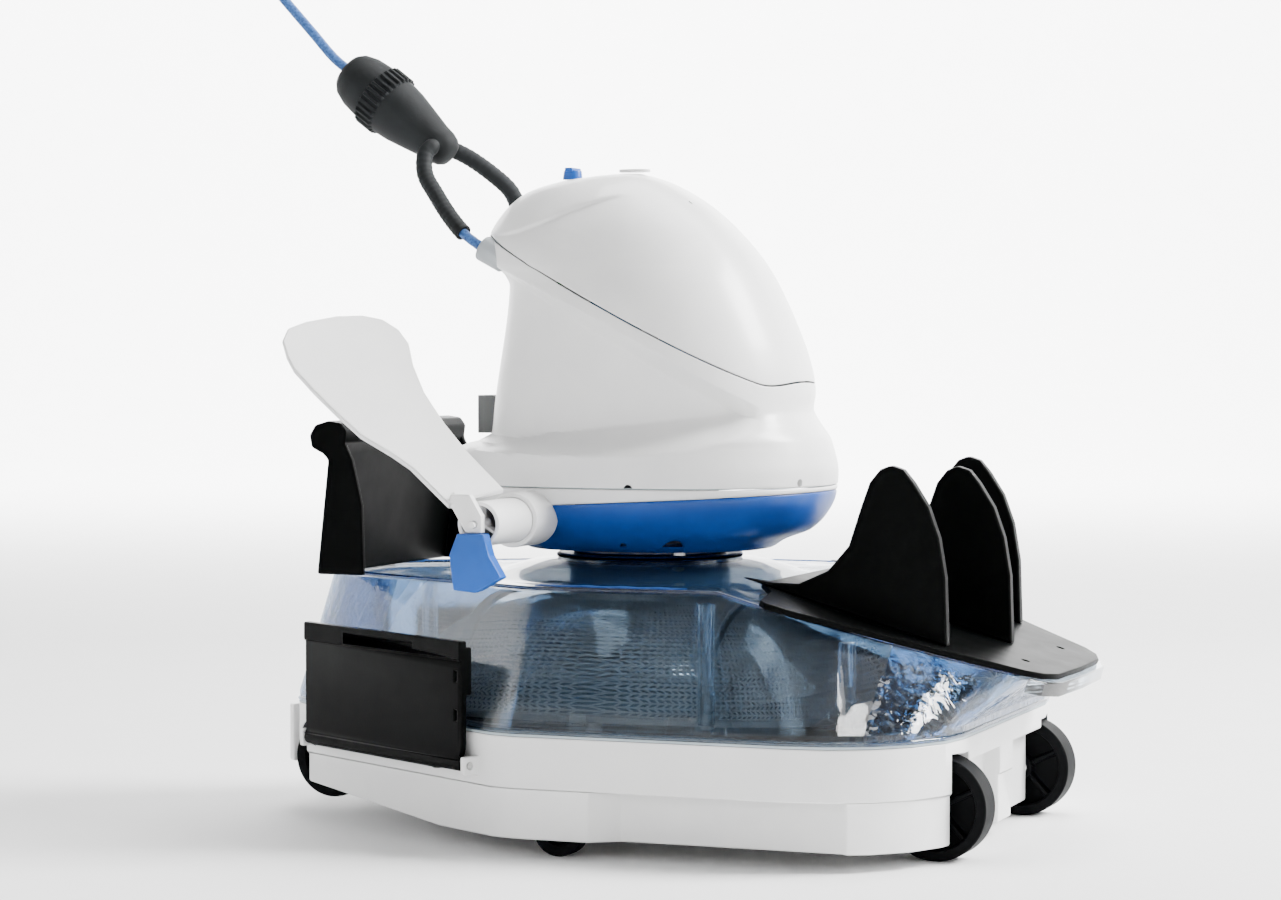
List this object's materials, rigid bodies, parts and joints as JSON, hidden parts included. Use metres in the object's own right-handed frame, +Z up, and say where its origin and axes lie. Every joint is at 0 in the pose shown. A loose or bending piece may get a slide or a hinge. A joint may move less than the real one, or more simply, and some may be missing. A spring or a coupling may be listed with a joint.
{
  "type": "pool cleaner",
  "caption": "Cordless pool cleaner: wheeled hull with a clear lid over a filter basket, a swivelling motor head with a side jet and paddle, tail fins and a rope with a float.",
  "frame": {"origin": "on the floor, under the middle of the length from nose bumper to clear visor, on the centre plane", "axes": "+X towards the tail fins, +Y towards the far side, +Z up"},
  "size_m": [0.4328, 0.282, 0.4241],
  "materials": {
    "white_abs": "satin gloss moulding",
    "clear_polycarbonate": "clear smoke blue, polished",
    "black_abs": "fine matt grain",
    "navy_plastic": "satin",
    "blue_abs": "satin",
    "bright_blue_abs": "satin",
    "grey_frame": "satin",
    "filter_fabric": "perforated sheet",
    "seal_rubber": "smooth",
    "wheel_plastic": "matt",
    "steel": "turned",
    "ballast_iron": "painted",
    "cell_wrap": "shrink wrap",
    "board_green": "solder mask",
    "bearing_acetal": "moulded",
    "impeller_orange": "moulded",
    "motor_can": "plated",
    "rope_blue": "braided",
    "foam_dark": "matt foam"
  },
  "bodies": {
    "base": {"lower_hull": "white_abs", "suction_plate": "grey_frame", "ballast": "ballast_iron", "seal_ring": "seal_rubber", "nose_bumper": "white_abs", "hull_screws": "steel", "tail_axles": "steel", "mid_pins": "steel", "nose_axles": "steel", "latch_pins": "steel", "flap_pin": "steel"},
    "tail_wheel_near": {"tail_wheel_near": "wheel_plastic"},
    "tail_wheel_far": {"tail_wheel_far": "wheel_plastic"},
    "mid_roller_near": {"mid_roller_near": "wheel_plastic"},
    "mid_roller_far": {"mid_roller_far": "wheel_plastic"},
    "nose_wheel_near": {"nose_wheel_near": "wheel_plastic"},
    "nose_wheel_far": {"nose_wheel_far": "wheel_plastic"},
    "latch_near": {"latch_near": "black_abs"},
    "latch_far": {"latch_far": "black_abs"},
    "inlet_flap": {"inlet_flap": "grey_frame"},
    "lid": {"lid_shell": "clear_polycarbonate", "lid_posts": "clear_polycarbonate", "lid_screws": "steel", "tail_visor": "clear_polycarbonate", "tail_plate": "black_abs", "fin_near": "black_abs", "fin_middle": "black_abs", "fin_far": "black_abs", "carry_handle": "black_abs", "swivel_collar": "navy_plastic", "swivel_bearing": "bearing_acetal"},
    "filter": {"filter_frame": "grey_frame", "filter_mesh": "filter_fabric"},
    "head": {"neck_spigot": "navy_plastic", "head_tray": "blue_abs", "head_band": "white_abs", "head_housing": "white_abs", "head_cover": "white_abs", "head_seal": "seal_rubber", "head_screws": "steel", "nozzle_pipe": "white_abs", "nozzle_collar": "white_abs", "nozzle_spider": "white_abs", "pump_volute": "grey_frame", "motor": "motor_can", "shaft_seal": "seal_rubber", "battery_pack": "cell_wrap", "control_board": "board_green", "socket_cap": "grey_frame", "rope_eyelets": "grey_frame", "loop_rope": "rope_blue", "loop_sleeves": "foam_dark", "float_body": "foam_dark", "lead_rope": "rope_blue"},
    "rotor": {"motor_shaft": "steel", "impeller": "impeller_orange"},
    "switch_knob": {"switch_knob": "bright_blue_abs"},
    "start_button": {"start_button": "white_abs"},
    "paddle": {"paddle": "white_abs", "paddle_foot": "bright_blue_abs"}
  },
  "joints": [
    {"name": "tail_wheel_near_roll", "type": "hinge", "parent": "base", "child": "tail_wheel_near", "pos_m": [0.151, -0.078, 0.024], "axis": [0, 1, 0], "continuous": true},
    {"name": "tail_wheel_far_roll", "type": "hinge", "parent": "base", "child": "tail_wheel_far", "pos_m": [0.151, 0.078, 0.024], "axis": [0, 1, 0], "continuous": true},
    {"name": "mid_roller_near_roll", "type": "hinge", "parent": "base", "child": "mid_roller_near", "pos_m": [-0.013, -0.129, 0.012], "axis": [0, 1, 0], "continuous": true},
    {"name": "mid_roller_far_roll", "type": "hinge", "parent": "base", "child": "mid_roller_far", "pos_m": [-0.013, 0.129, 0.012], "axis": [0, 1, 0], "continuous": true},
    {"name": "nose_wheel_near_roll", "type": "hinge", "parent": "base", "child": "nose_wheel_near", "pos_m": [-0.168, -0.044, 0.029], "axis": [0, 1, 0], "continuous": true},
    {"name": "nose_wheel_far_roll", "type": "hinge", "parent": "base", "child": "nose_wheel_far", "pos_m": [-0.168, 0.044, 0.029], "axis": [0, 1, 0], "continuous": true},
    {"name": "latch_near_open", "type": "hinge", "parent": "base", "child": "latch_near", "pos_m": [-0.11963, -0.09701, 0.04], "axis": [0.849, -0.5284, 0], "range_deg": [0, 70]},
    {"name": "latch_far_open", "type": "hinge", "parent": "base", "child": "latch_far", "pos_m": [-0.11963, 0.09701, 0.04], "axis": [-0.849, -0.5284, 0], "range_deg": [0, 70]},
    {"name": "inlet_flap_lift", "type": "hinge", "parent": "base", "child": "inlet_flap", "pos_m": [-0.041, 0, 0.021], "axis": [0, -1, 0], "range_deg": [0, 35]},
    {"name": "lid_lift", "type": "slide", "parent": "base", "child": "lid", "axis": [0, 0, 1], "range_m": [0, 0.16]},
    {"name": "filter_lift", "type": "slide", "parent": "base", "child": "filter", "axis": [0, 0, 1], "range_m": [0, 0.08]},
    {"name": "head_swivel", "type": "hinge", "parent": "lid", "child": "head", "pos_m": [-0.019, 0, 0.128], "axis": [0, 0, 1], "range_deg": [-8, 50]},
    {"name": "rotor_spin", "type": "hinge", "parent": "head", "child": "rotor", "pos_m": [-0.019, 0, 0.16], "axis": [0, 0, 1], "continuous": true},
    {"name": "knob_turn", "type": "hinge", "parent": "head", "child": "switch_knob", "pos_m": [-0.06, 0, 0.317], "axis": [0, 0, 1], "range_deg": [0, 90]},
    {"name": "start_press", "type": "slide", "parent": "head", "child": "start_button", "axis": [0, 0, -1], "range_m": [0, 0.0008], "stiffness_N_per_m": 300},
    {"name": "paddle_tilt", "type": "hinge", "parent": "head", "child": "paddle", "pos_m": [-0.054, -0.134, 0.1506], "axis": [0, 1, 0], "range_deg": [-14, 20]}
  ],
  "couplings": [
    {"joint": "filter_lift", "follows": "lid_lift", "ratio": 0.5}
  ]
}
